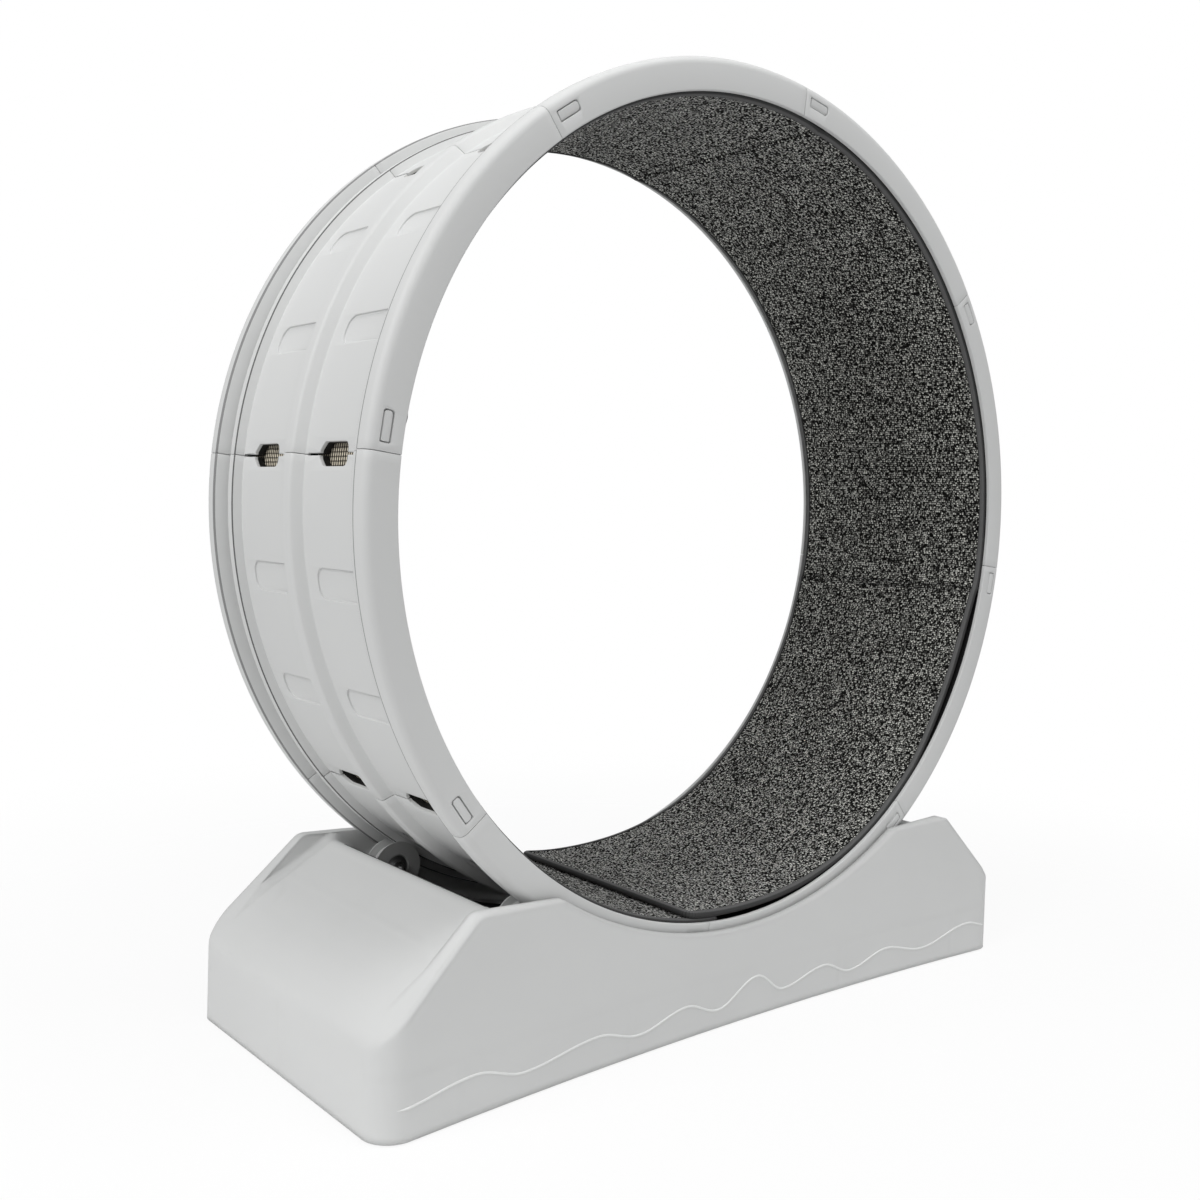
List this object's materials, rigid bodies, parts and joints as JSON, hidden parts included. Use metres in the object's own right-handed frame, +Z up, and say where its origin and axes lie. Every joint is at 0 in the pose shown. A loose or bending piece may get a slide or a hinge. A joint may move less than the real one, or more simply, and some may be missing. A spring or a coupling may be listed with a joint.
{
  "type": "cat exercise wheel",
  "caption": "Free-standing cat exercise wheel: a segmented ring lined with a bound mat, turning on grooved bearing rollers in a moulded cradle base.",
  "frame": {"origin": "on the floor under the middle of the wheel, at the centre of the base's footprint", "axes": "+Z up, +Y along the wheel's axis, +X along the length of the base"},
  "size_m": [0.8, 0.328, 0.8703],
  "materials": {
    "base_plastic": "fine matt mould texture",
    "wheel_plastic": "fine matt mould texture",
    "rubber": "matt",
    "mat_pile": "mottled grey loop pile",
    "mat_backing": "coarse woven backing",
    "mat_binding": "woven edge tape",
    "roller_plastic": "smooth",
    "bearing_steel": "ground",
    "bolt_steel": "bright zinc"
  },
  "bodies": {
    "base": {"base_shell": "base_plastic", "base_feet": "rubber", "bearing_inner_rings": "bearing_steel", "axle_bolts": "bolt_steel"},
    "wheel": {"wheel_segment_1": "wheel_plastic", "wheel_segment_2": "wheel_plastic", "wheel_segment_3": "wheel_plastic", "wheel_segment_4": "wheel_plastic", "wheel_segment_5": "wheel_plastic", "wheel_segment_6": "wheel_plastic", "wheel_segment_7": "wheel_plastic", "wheel_segment_8": "wheel_plastic", "mat_pile": "mat_pile", "mat_backing": "mat_backing", "mat_binding": "mat_binding"},
    "roller_front_left": {"roller_front_left": "roller_plastic", "roller_bearings_front_left": "bearing_steel"},
    "roller_front_right": {"roller_front_right": "roller_plastic", "roller_bearings_front_right": "bearing_steel"},
    "roller_rear_left": {"roller_rear_left": "roller_plastic", "roller_bearings_rear_left": "bearing_steel"},
    "roller_rear_right": {"roller_rear_right": "roller_plastic", "roller_bearings_rear_right": "bearing_steel"}
  },
  "joints": [
    {"name": "wheel_spin", "type": "hinge", "parent": "base", "child": "wheel", "pos_m": [0, 0, 0.4703], "axis": [0, 1, 0], "continuous": true},
    {"name": "roller_spin_front_left", "type": "hinge", "parent": "base", "child": "roller_front_left", "pos_m": [-0.22636, -0.1075, 0.12701], "axis": [0, 1, 0], "continuous": true},
    {"name": "roller_spin_front_right", "type": "hinge", "parent": "base", "child": "roller_front_right", "pos_m": [0.22636, -0.1075, 0.12701], "axis": [0, 1, 0], "continuous": true},
    {"name": "roller_spin_rear_left", "type": "hinge", "parent": "base", "child": "roller_rear_left", "pos_m": [-0.22636, 0.1075, 0.12701], "axis": [0, 1, 0], "continuous": true},
    {"name": "roller_spin_rear_right", "type": "hinge", "parent": "base", "child": "roller_rear_right", "pos_m": [0.22636, 0.1075, 0.12701], "axis": [0, 1, 0], "continuous": true}
  ],
  "couplings": [
    {"joint": "roller_spin_front_left", "follows": "wheel_spin", "ratio": -20.741},
    {"joint": "roller_spin_front_right", "follows": "wheel_spin", "ratio": -20.741},
    {"joint": "roller_spin_rear_left", "follows": "wheel_spin", "ratio": -20.741},
    {"joint": "roller_spin_rear_right", "follows": "wheel_spin", "ratio": -20.741}
  ]
}
